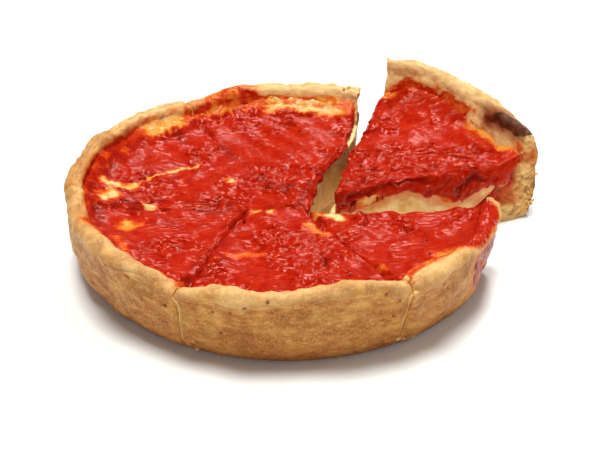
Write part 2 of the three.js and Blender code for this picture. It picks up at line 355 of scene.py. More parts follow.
def makeMesh(name, crust, points, faces, fields, material, nodes=()):
    # a mesh from whole arrays, in mm about the crust's centre, kept inside the solids' box, its faces turned
    # outwards, with one number per vertex for each named field; it rides on the pizza's one body
    shift = np.array([*(np.array(pizza["centre"]) + crust["offset"]), 0])
    points = np.clip((points + shift) / 1000, *cadBox)
    if (points[faces].mean(1) * faceNormals(points, faces)).sum() < 0:
        faces = faces[:, ::-1]
    mesh = bpy.data.meshes.new(name)
    corners = faces.shape[1]
    mesh.vertices.add(len(points))
    mesh.vertices.foreach_set("co", points.astype(np.float32).ravel())
    mesh.loops.add(faces.size)
    mesh.loops.foreach_set("vertex_index", faces.astype(np.int32).ravel())
    mesh.polygons.add(len(faces))
    mesh.polygons.foreach_set("loop_start", np.arange(0, faces.size, corners, dtype=np.int32))
    mesh.polygons.foreach_set("use_smooth", np.ones(len(faces), bool))
    mesh.update(calc_edges=True)
    for field, values in fields.items():
        mesh.attributes.new(field, "FLOAT", "POINT").data.foreach_set("value", values.astype(np.float32))
    mesh.materials.append(material)
    piece = bpy.data.objects.new(name, mesh)
    bpy.context.scene.collection.objects.link(piece)
    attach(piece, "root")
    if nodes:
        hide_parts(*nodes)


def linear(hexColour):  # an sRGB hex colour as linear light
    srgb = np.array([int(hexColour[k:k + 2], 16) for k in (0, 2, 4)]) / 255
    light = np.where(srgb <= 0.04045, srgb / 12.92, ((srgb + 0.055) / 1.055) ** 2.4)
    return (*map(float, light), 1.0)


def perMm(size):  # texture scale on Object coordinates for features of this size
    return 1000 / size


def addNode(tree, kind, inputs=(), output=0, **fields):
    # adds a node, sets its fields (stops fills a colour ramp), sets or links its inputs, given by name or in
    # order, with text for a hex colour, and returns one of its outputs
    node = tree.nodes.new("ShaderNode" + kind)
    for field, value in fields.items():
        if field == "stops":
            ramp = node.color_ramp
            while len(ramp.elements) < len(value):
                ramp.elements.new(0.5)
            for element, (position, colour) in zip(ramp.elements, value):
                element.position = position
                element.color = linear(colour)
        else:
            setattr(node, field, value)
    for socket, value in inputs.items() if isinstance(inputs, dict) else enumerate(inputs):
        if isinstance(value, bpy.types.NodeSocket):
            tree.links.new(value, node.inputs[socket])
        else:
            node.inputs[socket].default_value = linear(value) if isinstance(value, str) else value
    return node.outputs[output] if node.outputs else None


def newMaterial(name):
    material = bpy.data.materials.new(name)
    material.use_nodes = True
    material.node_tree.nodes.clear()
    return material, material.node_tree


# brown and char also paint shade into pits, creases, cracks and crumb holes; the pale lip is partly a painted
# highlight
doughLook = {
    "pale": "d69d4a", "mid": "b77129", "deep": "924f19", "lip": "f5cd88", "brown": "96481c", "foot": "84501f",
    "char": "26110e", "flour": "ebc588", "crumb": "f8ca7e", "oil": "dc7a30",
    "mottle": 7, "patch": 17, "grain": 1.3, "roughness": (0.65, 0.4),
}
sauceLook = {
    # deep is the darkest red: painted shade in hollows, crevices and cuts, and the dark red oil run down the
    # outer wall
    "dark": "9e0f04", "mid": "b31b05", "bright": "c22e0b", "deep": "6a0502",
    "orange": "d8591b", "yellow": "e79c3a", "cream": "efc88b",
    "pulp": 4.5, "fleck": 1.4, "film": 2.4, "roughness": (0.26, 0.09), "sheen": (1, 0.5, 0.32, 1),
}
cheeseLook = {
    "pale": "fadfa6", "mid": "f2cd86", "deep": "e3ae5f", "stain": "e07f3a",
    "mottle": 7, "roughness": (0.28, 0.5),
}


def sauceParts(tree, place):
    # Crushed tomato baked until thick: glossy red pulp, oil and cheese showing where it lies thin.
    # Returns its colour, roughness and height.
    look = sauceLook
    laid = addNode(tree, "Mapping", {"Vector": place, "Scale": (0.5, 1.2, 1)})
    pulp, fine, film = (
        addNode(tree, "TexNoise", {"Vector": at, "Scale": perMm(size), "Detail": detail, "Roughness": rough})
        for at, size, detail, rough in (
            (place, look["pulp"], 5, 0.62), (place, look["fleck"], 3, 0.6), (laid, look["film"], 1, 0.4)))
    deep, thinness, pulpy = (
        addNode(tree, "Attribute", output="Fac", attribute_name=name) for name in ("deep", "thin", "pulpy"))
    thin, wet, height = (
        addNode(tree, "Math", values, operation="MULTIPLY_ADD")
        for values in ((fine, 0.35, thinness), (pulp, 0.8, pulpy), (fine, 0.5, film)))
    colour = addNode(tree, "ValToRGB", [pulp], stops=[
        (0.3, look["dark"]), (0.5, look["mid"]), (0.72, look["bright"])])
    thinColour = addNode(tree, "ValToRGB", [thin], stops=[
        (0.4, look["bright"]), (0.58, look["orange"]), (0.8, look["yellow"]), (1.0, look["cream"])])
    fleck, shows, roughness = (
        addNode(tree, "MapRange", values)
        for values in ((fine, 0.58, 0.7), (thin, 0.3, 0.45), (wet, 0.35, 1.2, *look["roughness"])))
    # deep darkens it: painted shade in hollows, crevices and cuts, and the dark red oil run down the outer
    # wall
    for share, over in ((fleck, look["bright"]), (deep, look["deep"]), (shows, thinColour)):
        colour = addNode(tree, "Mix", {0: share, 6: colour, 7: over}, 2, data_type="RGBA")
    return colour, roughness, height


def doughParts(tree, place):
    # Baked pizza dough: dry and floury, pale gold where thick, browned in patches and at its foot; the brown
    # and char layers also paint shade into pits, creases, cracks and crumb holes, and the pale lip is partly
    # a painted highlight.
    look = doughLook
    flat = addNode(tree, "Mapping", {"Vector": place, "Scale": (1, 1, 1.7)})
    mottle, patch, grain = (
        addNode(tree, "TexNoise", {"Vector": at, "Scale": perMm(size), "Detail": detail, "Roughness": rough})
        for at, size, detail, rough in (
            (flat, look["mottle"], 5, 0.65), (place, look["patch"], 2, 0.5), (place, look["grain"], 3, 0.6)))
    lip, brown, crumb, char = (
        addNode(tree, "Attribute", output="Fac", attribute_name=name)
        for name in ("lip", "brown", "crumb", "char"))
    uneven, patchy, height = (
        addNode(tree, "Math", values, operation="MULTIPLY_ADD")
        for values in ((patch, 0.6, mottle), (mottle, 0.5, brown), (mottle, 1.5, grain)))
    floured, specks, brownedAndShaded, roughness = (addNode(tree, "MapRange", values) for values in (
        (grain, 0.5, 0.75, 0, 0.5), (grain, 0.42, 0.28, 0, 0.35), (patchy, 0.3, 1.35),
        (mottle, 0.3, 0.7, *look["roughness"])))
    colour = addNode(tree, "ValToRGB", [uneven], stops=[
        (0.56, look["deep"]), (0.78, look["mid"]), (1.0, look["pale"])])
    layers = {"flour": floured, "lip": lip, "foot": specks, "brown": brownedAndShaded, "crumb": crumb, "char": char}
    for name, share in layers.items():
        colour = addNode(tree, "Mix", {0: share, 6: colour, 7: look[name]}, 2, data_type="RGBA")
    return colour, roughness, height


def cheeseParts(tree, place):
    # Melted mozzarella: cream, smooth and a little oily, stained by the sauce above it.
    look = cheeseLook
    stained = addNode(tree, "Attribute", output="Fac", attribute_name="stain")
    mottle = addNode(tree, "TexNoise", {
        "Vector": place, "Scale": perMm(look["mottle"]), "Detail": 4, "Roughness": 0.55})
    colour = addNode(tree, "ValToRGB", [mottle], stops=[
        (0.3, look["deep"]), (0.48, look["mid"]), (0.68, look["pale"])])
    colour = addNode(tree, "Mix", {0: stained, 6: colour, 7: look["stain"]}, 2, data_type="RGBA")
    return colour, addNode(tree, "MapRange", [mottle, 0.3, 0.7, *look["roughness"]]), mottle


def finishMaterial(tree, colour, roughness, height, bumpMm, settings):
    bump = addNode(tree, "Bump", {"Strength": 0.8, "Distance": bumpMm / 1000, "Height": height})
    shader = addNode(tree, "BsdfPrincipled", {
        "Base Color": colour, "Roughness": roughness, "Normal": bump, **settings})
    addNode(tree, "OutputMaterial", {"Surface": shader})


def doughMaterial():  # dough, with sauce, its oil and cheese where they have run over it
    material, tree = newMaterial("bakedDough")
    place = addNode(tree, "TexCoord", output="Object")
    dough, sauce, cheese = (parts(tree, place) for parts in (doughParts, sauceParts, cheeseParts))
    onIt, cheeseOnIt = (
        addNode(tree, "Attribute", output="Fac", attribute_name=name) for name in ("sauced", "cheesy"))
    oiled, cheesy, sauced = (
        addNode(tree, "MapRange", values)
        for values in ((onIt, 0.04, 0.5, 0, 0.9), (cheeseOnIt, 0.35, 0.65), (onIt, 0.42, 0.7)))
    colour = dough[0]
    for share, over in ((oiled, doughLook["oil"]), (cheesy, cheese[0]), (sauced, sauce[0])):
        colour = addNode(tree, "Mix", {0: share, 6: colour, 7: over}, 2, data_type="RGBA")
    roughness, height = (
        addNode(tree, "Mix", {0: sauced, 2: dough[k], 3: sauce[k]}, data_type="FLOAT") for k in (1, 2))
    sheen = addNode(tree, "Mix", {0: sauced, 6: (1, 1, 1, 1), 7: sauceLook["sheen"]}, 2, data_type="RGBA")
    finishMaterial(tree, colour, roughness, height, 0.35, {
        "IOR": 1.45, "Specular IOR Level": 0.3, "Specular Tint": sheen, "Subsurface Weight": 0.08,
        "Subsurface Radius": (1.0, 0.5, 0.2), "Subsurface Scale": 0.0015})
    return material


def sauceMaterial():
    material, tree = newMaterial("crushedTomatoSauce")
    finishMaterial(tree, *sauceParts(tree, addNode(tree, "TexCoord", output="Object")), 0.5, {
        "IOR": 1.35, "Specular IOR Level": 0.4, "Specular Tint": sauceLook["sheen"],
        "Subsurface Weight": 0.12, "Subsurface Radius": (1.0, 0.12, 0.06), "Subsurface Scale": 0.0015})
    return material


def cheeseMaterial():
    material, tree = newMaterial("meltedMozzarella")
    finishMaterial(tree, *cheeseParts(tree, addNode(tree, "TexCoord", output="Object")), 0.5, {
        "IOR": 1.44,
        "Subsurface Weight": 0.35, "Subsurface Radius": (1.0, 0.6, 0.3), "Subsurface Scale": 0.003})
    return material


bakedDough, tomatoSauce, mozzarella = doughMaterial(), sauceMaterial(), cheeseMaterial()
print("materials made")


# Features of the crust are placed by angle in degrees and by wrap: mm round the lip from its top, inwards
# below 0.
lipRound = pizza["lipThickness"] / 2
lipCentre = (pizza["lipRadius"] - lipRound, pizza["crestHeight"] - lipRound)


def wrapOf(reach, z, c):
    # round the lip an arc length from its top, and below it a quarter round and then straight down
    r, up = reach - lipCentre[0], z - lipCentre[1]
    overLip = lipRound * np.arctan2(r, np.maximum(up, 1e-6))
    return np.where(up > 0, overLip, np.where(c < 0.5, 1, -1) * (np.pi / 2 * lipRound - up))


# how far out the sauce reaches over the lip: angle, half width in degrees, and mm added to its edge's wrap
sauceReach = {
    "usual": -9.5,
    "round": [
        (110, 12, 9.5), (168, 24, 1), (203, 4, 8), (341, 13, 14), (326, 7, 8), (280, 20, 1.5), (243.5, 3, 6),
        (300, 3, 7),
    ],
    "pulled": [(71, 5, -7), (22, 12, -6)],
}
bareBands = {  # bands of the inner wall without sauce: from and to angle, from and to wrap, share of cheese
    "round": [(71, 99, -22, -12, 0.62), (126, 141, -22, -7, 0.45)],
    "pulled": [(8, 38, -22, -10.5, 0.3)],
}
pits = [  # angle, height, radius and depth of holes in the outer wall
    (228.9, 42.8, 1.7, 1.6), (239.5, 32.6, 0.9, 0.8), (260.7, 43.5, 0.8, 0.8), (265.9, 46.7, 0.8, 0.7),
    (228.6, 18.1, 1.0, 0.8), (292.9, 46.6, 0.8, 0.7), (296.6, 28.2, 0.9, 0.8), (297.0, 40.5, 0.9, 0.8),
    (300.5, 33.9, 0.8, 0.8), (252.3, 35.1, 0.7, 0.6), (257.1, 38.0, 0.7, 0.6), (253.7, 21.4, 0.8, 0.7),
    (218.1, 19.0, 0.7, 0.6), (263.7, 10.1, 0.7, 0.6), (312, 36, 0.8, 0.7), (321, 33, 0.8, 0.7),
    (245.2, 8, 1.6, 2.2), (303, 7.5, 1.8, 2.0),
]
creases = [  # runs of (angle, height) on the outer wall, with depth and width
    ([(205, 43.0), (213, 43.6), (219.8, 44.6), (224.9, 45.0), (230.9, 47.4), (234, 47.2)], 1.1, 1.0),
    ([(262, 44.4), (268, 45.2), (273, 45.4), (282, 46.4), (287, 45.6), (292, 45.2)], 0.35, 1.3),
    ([(244, 43.5), (249, 42.8), (254, 42.2), (258, 43.2)], 0.5, 1.0),
    ([(304, 44), (310, 42), (318, 41), (326, 42)], 0.6, 1.2),
    ([(245.4, 8), (248.8, 6.2), (251, 6)], 0.5, 0.6),
]
brownPatches = [  # angle, height, half width in mm, strength
    (249.3, 19.3, 5, 0.7), (253, 18, 3.5, 0.6), (258.0, 10.1, 3.5, 0.6), (295.6, 14.6, 4, 0.5),
    (273.3, 27.2, 5, 0.3), (229, 19, 4, 0.35), (240, 12, 4, 0.35), (256, 36, 4, 0.4), (284, 12, 4, 0.35),
    (306, 20, 5, 0.5), (270, 6, 6, 0.4),
]
blister = {  # charred bubble on the loose slice's lip: runs of (angle, wrap), with width and height
    "line": [(29, -9.5), (24, -6), (18.5, -4.5), (13.5, -3), (10.5, -1)], "width": 4.3, "height": 1.8,
}
# how far the inside of the wall leans in at the sauce: everywhere, and humps at an angle, with width, in mm
fillets = {"pulled": (0.5, []), "round": (1.2, [(311, 10, 5)])}


def crustRelief(crust, p, wrap, outer, inner, seamAway):
    # small rises and hollows of the crust in mm: broad dents, knobs, drag marks and grain, a lip that rolls
    # over the wall, creases and pits outside, and shoulders that sink towards the closed cuts; returns a
    # painted shade too, dark along the seams of the closed cuts, in the creases and in the pits
    angle = angleOf(p[:, 0], p[:, 1])
    z = p[:, 2]
    seed = 11 if crust is roundCrust else 61
    dragged = np.stack([angle * mmRound, 0.22 * z, 0 * z], -1)
    relief = 0.75 * noise(p, 24, seed) + 0.7 * noise(p, 11, seed + 1) + 0.42 * fractal(p, 5, seed + 2, 2)
    relief += 0.2 * fractal(p, 2.4, seed + 4, 2) + 0.3 * outer * noise(dragged, 2.6, seed + 9)
    flaked = smooth(noise(p, 15, seed + 17), -0.1, 0.6)
    relief += outer * flaked * 0.7 * (ridged(p * [1, 1, 1.8], 6, seed + 18) - 0.4)
    onLip = bell(wrap, 8)
    relief += onLip * (0.6 * noise(p, 14, seed + 19) + noise(p, 7, seed + 6) + 0.5 * noise(p, 3.4, seed + 7))
    onWall = np.maximum(outer, onLip)
    relief -= onWall * 1.7 * bell(seamAway, 1.5) * (0.7 + 0.5 * noise(dragged, 8, seed + 10))
    relief += onWall * 0.6 * bell(seamAway - 5, 3)
    # painted shade along the seams of the closed cuts
    dark = outer * bell(seamAway, 0.65) * smooth(noise(p, 6, seed + 11), -0.5, 0.7)
    lean = smooth(z, 32, 38) * fade(z, 40, 41 + 0.75 * (crust["height"](angle) - 40))
    lean *= 1 + 0.25 * noise(p, 13, seed + 13) + 0.12 * noise(p, 4, seed + 14)
    least, more = fillets[crust["kind"]]
    relief += inner * lean * (least + sum(add * hump(angle, at, width) for at, width, add in more))
    sauced = sauceOnDough(crust, p, wrap)
    relief += onWall * sauced * (0.7 * ridged(p, 3.4, seed + 15) + 0.2 * noise(p, 1.8, seed + 16) - 0.3)
    if crust is pulledCrust:
        away = alongWall(angle, wrap, blister["line"])
        relief += (1 - outer) * blister["height"] * bell(away, blister["width"])
    else:
        relief += outer * 0.9 * bell(wrap - 3, 5)
        relief -= outer * 0.75 * bell(wrap - 13, 3.5) * (0.6 + 0.5 * noise(p, 16, seed + 8))
        wobble = 0.5 * noise(p, 3, seed + 12)
        for line, depth, width in creases:
            away = alongWall(angle, z, line) + wobble
            relief -= depth * outer * bell(away, width)
            # painted shade in the creases
            dark = np.maximum(dark, 0.25 * outer * bell(away, 0.6 * width))
        for at, up, radius, depth in pits:
            away = np.hypot((angle - at) * mmRound, z - up) / (1.3 if radius < 1.5 else 1)
            relief -= depth * outer * bell(away, radius, 4)
            relief += 0.3 * depth * outer * bell(away - 1.6 * radius, 0.5 * radius)
            # painted shade in the pits
            dark = np.maximum(dark, outer * bell(away, 0.85 * radius, 4))
    return relief, dark


def sauceOnDough(crust, p, wrap):  # 1 where sauce has run over the dough, fading over a ragged edge
    angle = angleOf(p[:, 0], p[:, 1])
    ragged = 2.2 * fractal(p, 6, 31, 3)
    further = sum(more * hump(angle, at, width) for at, width, more in sauceReach[crust["kind"]])
    return smooth(sauceReach["usual"] + further + ragged - wrap, -8 if crust is roundCrust else -3, 3.2)


def crustFields(crust, p, wrap, outer, cutFace, dark):
    # per vertex: sauce or its oil on the dough, how thin and how dark it is, bare cheese and its stain,
    # browning and char, both also carrying the painted shade of seams, creases, pits and crumb holes, the
    # crumb of the cut faces and the pale lip, partly a painted highlight on its top
    angle = angleOf(p[:, 0], p[:, 1])
    z = p[:, 2]
    out = np.hypot(p[:, 0], p[:, 1])
    isRound = crust is roundCrust
    uncut = 1 - cutFace
    ragged = 2.2 * fractal(p, 6, 31, 3)
    speckles = fractal(p, 3, 40, 2)
    sauced = sauceOnDough(crust, p, wrap) * uncut
    deep = np.zeros(len(p))
    seep = smooth(118.5 + 2.5 * fractal(p, 7, 32, 3) - 0.12 * (z - 10) - out, -4, 5)
    seep *= smooth(out, 97, 103) if isRound else smooth(out, 86, 94) * smooth(z, 8, 12)
    seep *= (0.3 if isRound else 0.55) + 0.22 * noise(p, 9, 34)
    if not isRound:  # a band of sauce runs across the wall's cut end, under the lip, and round its corner
        lumpy = 5 * noise(p, 6, 44) + 3 * noise(p, 2.5, 45)
        band = smooth(z + lumpy, 27, 42) * fade(z + 0.7 * lumpy, 41, 50)
        seep = np.maximum(seep, (0.8 - 0.3 * smooth(out, 110, 124)) * band)
        besideCut = uncut * fade(angle + 1.5 * noise(p, 5, 55), 11, 16) * smooth(-wrap, 6, 11)
        sauced = np.maximum(sauced, 0.9 * besideCut * fade(z + 0.7 * lumpy, 47, 56))
    sauced = np.maximum(sauced, cutFace * seep)
    if isRound:  # red oil has run down outside on the right, and speckles the back of the wall
        streaks = 0.68 + 0.22 * noise(np.stack([angle * mmRound, 0.25 * z, 0 * z], -1), 3.4, 46)
        streaks += 0.25 * noise(p, 6, 56)
        run = between(angle, 327, 356, 10) * smooth(wrap, 5, 10) * fade(wrap + 8 * noise(p, 9, 47), 30, 48)
        sauced = np.maximum(sauced, run * np.clip(streaks, 0, 1) * uncut)
        deep = 0.55 * run
        speckled = bell(wrap + 9.5, 3.2) * np.clip(0.16 + 0.6 * speckles, 0, 0.48)
        sauced = np.maximum(sauced, between(angle, 70, 100, 6) * speckled)
        sauced *= 1 - 0.85 * between(angle, 62, 100, 4) * smooth(wrap, -9, -6)
        sauced *= 1 - 0.8 * between(angle, 60, 73.5, 2)
    cheesy = np.zeros(len(p))
    for low, high, fromWrap, toWrap, share in bareBands[crust["kind"]]:
        band = between(angle, low, high, 5) * smooth(wrap + ragged, fromWrap - 2, fromWrap + 2)
        band *= fade(wrap + 0.7 * ragged, toWrap - 2, toWrap + 2) * uncut
        cheesy = np.maximum(cheesy, band * share)
        sauced *= 1 - 0.95 * band * (1 - 0.45 * smooth(speckles, 0, 0.5))
    brown = outer * (0.55 * fade(z, 0, 14) + 0.12 * fade(z, 10, 40))
    brown += 0.25 * smooth(noise(p, 16, 35), 0.2, 0.9)
    char = np.zeros(len(p))
    if isRound:
        wobble = 1.2 * noise(p, 4, 37)
        for at, up, size, strength in brownPatches:
            away = np.hypot((angle - at) * mmRound, (z - up) * 1.3) + wobble
            brown = np.maximum(brown, strength * outer * bell(away, size))
    else:
        away = alongWall(angle, wrap, blister["line"])
        frayed = away + 0.9 * noise(p, 2.6, 38) + 0.7 * noise(p, 6, 51) + 3 * smooth(angle, 20, 29)
        charred = uncut * bell(frayed, blister["width"])
        rim = bell(charred - 0.5, 0.22) * smooth(wrap, -6, -2)
        char = smooth(charred, 0.3, 0.55) * np.clip(0.72 + 0.25 * noise(p, 3, 43) + 0.35 * rim, 0, 0.96)
        brown = np.maximum(brown, 1.1 * uncut * bell(away + 1.5 * noise(p, 4, 48), 1.7 * blister["width"]))
    # painted shade of the seams, creases, pits and crumb holes, laid on as browning and char; it also dims
    # the pale crumb
    brown = np.maximum(brown, dark)
    char = np.maximum(char, dark * np.where(cutFace, 0.06, 0.7 * dark))
    crumby = noise(p * [1, 1, 1.6], 5, 41) + 0.7 * noise(p * [1, 1, 1.6], 2.2, 42)
    crumb = cutFace * (0.7 + 0.3 * smooth(crumby, -0.6, 0.5)) * (1 - 0.8 * dark)
    # pale top and inside of the rim; on its top this is partly a painted highlight
    lip = 0.9 * fade(wrap + 5 * noise(p, 13, 39) + 2 * noise(p, 4, 52), 1, 13)
    lip *= 0.45 + 0.55 * smooth(noise(p, 8, 49) + 0.5 * noise(p, 3, 50), -0.6, 0.4)
    lip = np.maximum(lip, 0.85 * smooth(-wrap, 1, 5) if isRound else smooth(-wrap, -2, 5)) * uncut
    if isRound:  # paler at the back, browner on the left
        lip = np.maximum(lip, 0.95 * between(angle, 60, 101, 5) * fade(np.abs(wrap + 2), 5, 9) * uncut)
        lip *= 1 - 0.65 * between(angle, 150, 215, 18) - 0.32 * between(angle, 215, 320, 18)
    stain = 0.75 * smooth(noise(p, 7, 33) + 0.5 * noise(p, 2.5, 36), -0.1, 0.9)
    thin = ((0.32 if isRound else 0.16) + 0.13 * ragged) * uncut * (1 - 0.8 * between(angle, 322, 360, 8))
    thin = np.clip(thin * (1 - 0.6 * isRound * between(angle, 144, 196, 16)), 0, 0.6)
    return {"sauced": sauced, "cheesy": cheesy, "brown": brown, "char": char, "crumb": crumb, "lip": lip,
            "stain": stain, "thin": thin, "deep": deep}


def resample(line, count):  # count points evenly along a run of straight stretches
    line = np.array(line, float)
    along = np.concatenate([[0], np.cumsum(np.hypot(*np.diff(line, axis=0).T))])
    at = np.linspace(0, along[-1], count)
    return np.stack([np.interp(at, along, line[:, k]) for k in (0, 1)], -1)


def soften(line, times=2):  # cuts the corners of a run of straight stretches
    line = np.array(line, float)
    for _ in range(times):
        a, b = lerp(line[:-1], line[1:], 0.25), lerp(line[:-1], line[1:], 0.75)
        line = np.concatenate([line[:1], np.stack([a, b], 1).reshape(-1, 2)[1:-1], line[-1:]])
    return line


# the inside of the crust, from the end of the flat base up to the lip: distance out and height
insideLine = [
    (pizza["flatBase"], pizza["baseThickness"]), (88, 11.5), (97.5, 19.5), (106.5, 31.5), (110.6, 37.5),
    (113.7, 42.3), (115.4, lipCentre[1]),
]
crustMesh = {
    "across": 200, "corner": 14, "wall": 96, "thick": 12, "thickAtGap": 26,
    "edgeRadius": 1.9, "closedEdge": 1.1, "closedGap": 0.16, "crumbLump": 3.8, "crumbDepth": 1.7,
}


def lipArc(start, end):  # points round the lip between two angles, outside at 0 and its top at 90 degrees
    turn = np.radians(np.linspace(start, end, 9))
    return lipCentre + lipRound * np.stack([np.cos(turn), np.sin(turn)], -1)


def crustSections(crust, baseSteps):
    # outer and inner line of the section, matched point by point, from the tip along the base up to the lip
    foot, belly = crust["footRadius"], crust["bellyRadius"]
    flat, base, footTop = pizza["flatBase"], pizza["baseThickness"], 2.8
    heights = np.linspace(footTop, lipCentre[1], 24)
    radii = [foot, lerp(foot, belly, 0.55), belly, pizza["lipRadius"]]
    curve = np.polyfit([footTop, 13, 31, lipCentre[1]], radii, 3)
    wall = np.concatenate([np.stack([np.polyval(curve, heights), heights], -1), lipArc(8, 74)])
    corner = soften([(flat, 0), (foot - 6, 0), (foot - 2, 0.7), (foot, footTop)])
    inside = soften(insideLine)
    split = int(np.argmin(np.abs(inside[:, 1] - insideLine[2][1])))  # where the corner meets the wall
    outer = [(0, 0), (flat, 0)], corner, wall
    inner = [(0, base), (flat, base)], inside[:split + 1], np.concatenate([inside[split:], lipArc(172, 106)])
    counts = (baseSteps, crustMesh["corner"], crustMesh["wall"])
    return [
        np.concatenate([resample(line, count)[:-1] for line, count in zip(lines, counts)] + [lines[-1][-1:]])
        for lines in (outer, inner)]


def crustPiece(name, cutSlice):
    # block between the outer and the inner section line, carried across the slice, bent to the crust, then
    # roughened; a face at the gap is torn into rounded crumb with holes
    crust, right, left = cutSlice["crust"], cuts[cutSlice["right"]], cuts[cutSlice["left"]]
    thick = crustMesh["thickAtGap"] if right["open"] or left["open"] else crustMesh["thick"]
    outerLine, innerLine = crustSections(crust, cutSlice["baseSteps"])
    a, c, ib, atRight, cutFace, isOpen, quads = sliceBlock(
        cutSlice, crustMesh["across"], len(outerLine), thick)
    thickness = np.hypot(*(outerLine - innerLine).T)[ib]
    reach = lerp(outerLine[ib], innerLine[ib], c[:, None])[:, 0]
    width = planOf(cutSlice, a, reach)[2]
    radius = np.where(isOpen, crustMesh["edgeRadius"], crustMesh["closedEdge"])
    radius = np.minimum(radius, 0.3 * np.minimum(width, thickness))
    a, c = roundEdges(a, c, radius / width, radius / thickness)
    reach, z = lerp(outerLine[ib], innerLine[ib], c[:, None]).T
    inset = {True: -pizza["knifeGap"] / 2, False: -crustMesh["closedGap"]}
    x, y, width, s = planOf(cutSlice, a, reach, inset[right["open"]], inset[left["open"]])
    wrap = wrapOf(reach, z, c)
    p = np.stack(bend(crust, x, y, z), -1)
    wallPart = smooth(reach, 88, 100) * (1 - cutFace)
    outer, inner = wallPart * (c < 0.5), wallPart * (c > 0.5)
    rim = np.where(atRight, right["rim"], left["rim"])
    sway = 1.1 * noise(np.stack([rim, 0 * z, p[:, 2]], -1), 7, 81)
    seamAway = np.where(isOpen, farAway, np.abs(np.where(atRight, a, a - 1) * width - sway))
    relief, dark = crustRelief(crust, p, wrap, outer, inner, seamAway)
    underneath = (z < 0.5) | (reach < pizza["flatBase"])
    relief = np.where(underneath, 0, relief) * (1 - 0.75 * cutFace)
    openFace = cutFace & isOpen
    up = p[:, 2]
    onFace = np.stack([s * pizza["cutLength"] + 2.2 * noise(p, 5, 74), up + 2.2 * noise(p, 5, 84), 0 * z], -1)
    lump = cells(onFace, crustMesh["crumbLump"], 71)[0]
    small = cells(onFace, crustMesh["crumbLump"] / 2, 78)[0]
    split = bell(noise(onFace * [0.6, 1, 1], 10, 75), 0.13)
    crumb = 1.0 + smooth(lump, 0.1, 0.8) + 0.5 * smooth(small, 0.1, 0.8) + 0.9 * noise(p, 8, 73) + 0.4 * split
    if crust is pulledCrust:  # soaked by the sauce under the lip
        soaked = openFace * smooth(up + 2.42 * fractal(p, 6, 31, 3), 35, 38) * fade(up, 44, 47)
        crumb = lerp(crumb, 0.3 + 1.6 * noise(p, 4, 77) + 1.2 * ridged(p, 3, 80), soaked)
    torn = openFace * smooth(thickness, 5, 11)
    relief -= torn * crumb * crustMesh["crumbDepth"]
    # painted shade in the holes and splits of the torn crumb
    gaps = np.maximum(0.8 * smooth(lump, 0.4, 0.75), 0.4 * split) * fade(up, 38, 42)
    dark = np.maximum(dark, torn * gaps)
    openAway = np.where(isOpen, np.minimum(a, 1 - a) * width, farAway)
    frayed = 0.9 + 1.2 * noise(p, 4.5, 76) + 0.5 * noise(p, 2.2, 79)
    relief -= (outer + inner) * bell(openAway, 2.2) * frayed
    normals = vertexNormals(p, quads)
    keepDown = np.where(normals[:, 2] < -0.3, smooth(up, 0, 6), 1)
    p = p + normals * (relief * keepDown)[:, None]
    p[:, 2] = np.maximum(p[:, 2], 0)
    fields = crustFields(crust, p, wrap, outer, cutFace, dark)
    makeMesh(name + "_bakedCrust", crust, p, quads, fields, bakedDough, [name + "_crust"])


cheeseMarks = [  # where cheese shows through the sauce: line in mm about the pizza's centre, width, strength
    ([(-106, 14), (-94, 11), (-89, 12)], 2.1, 0.74),
    ([(-89, 12), (-81, 24), (-73, 32), (-62, 39), (-55, 41)], 1.0, 0.76),
    ([(-101, 1), (-104, -1)], 3.6, 0.88), ([(-78, -9)], 2.4, 0.9), ([(-88, -32)], 5.2, 0.66),
    ([(-34, 20)], 2.6, 0.8), ([(-31, -62), (-14, -60)], 2.6, 0.42),
    ([(80, -68), (90, -61), (102, -56)], 4.6, 0.72), ([(50, -77)], 2.3, 0.5), ([(-19, -14)], 2.4, 0.8),
    ([(-10, -14)], 2.0, 0.75), ([(22, -17), (27, -19)], 3.0, 1.0), ([(13, -16), (19, -17)], 1.8, 0.7),
    ([(19, -40), (11, -28)], 2.4, 0.6), ([(-86, -62), (-92, -50)], 3, 0.5),
]
deepMarks = [  # darker red in the sauce, given alike: painted shade in crevices and along the cuts, and a few darker red patches
    ([(-104, -7), (-93, -5), (-81, -8)], 1.6, 1.0), ([(-79, -3), (-70, -1.5), (-59, -2)], 1.3, 0.9),
    ([(12, 24), (9, 8), (6, -9)], 2.6, 0.5), ([(22, 57)], 3.5, 0.5),
    ([(-30, -60), (-33, -67), (-44, -94)], 1.2, 0.4), ([(23, -35), (36, -64), (43, -79)], 1.0, 0.35),
]
pulpPlaces = [  # where crushed pulp stands out of the smooth sauce: line and width
    ([(-15, 34), (1, -3)], 13), ([(-77, 81), (-66, 88)], 9), ([(-12, -38), (-9, -59)], 8),
    ([(20, -69), (7, -94)], 9), ([(-59, -2), (-28, -1)], 5), ([(-73, -57), (-53, -38)], 6),
    ([(30, 60), (10, 75)], 12), ([(70, -30), (40, -20)], 8), ([(-101, 8), (-84, 14)], 7),
    ([(34, 10), (75, 24), (125, 42)], 9), ([(60, 62), (85, 66)], 8), ([(45, 30), (105, 52)], 9),
]
thinEdges = {  # where the sauce thins out at the wall: from and to angle and their fade in degrees, strength
    # and how much it varies, mm by which its edge sways and frays, and the distances where it starts and ends
    "round": [
        (146, 204, 16, 0.2, 0.2, 0, 6, 101, 114), (126, 142, 5, 0.66, 0, 2, 3, 103, 110),
        (99, 124, 6, 0.3, 0.25, 0, 4, 104, 113),
    ],
    "pulled": [(10, 37, 8, 0.6, 0, 3, 1.2, 105, 110), (65, 82, 5, 0.5, 0, 0, 2, 103, 109)],
}
sauceMesh = {
    "across": 176, "along": 180, "thick": 22, "edge": 116, "lowEdge": 108.2, "climbFrom": 98,
    "openRadius": 4.5, "fade": 6, "overLip": {"angles": (326, 356), "out": 4.6, "up": 5.2},
}
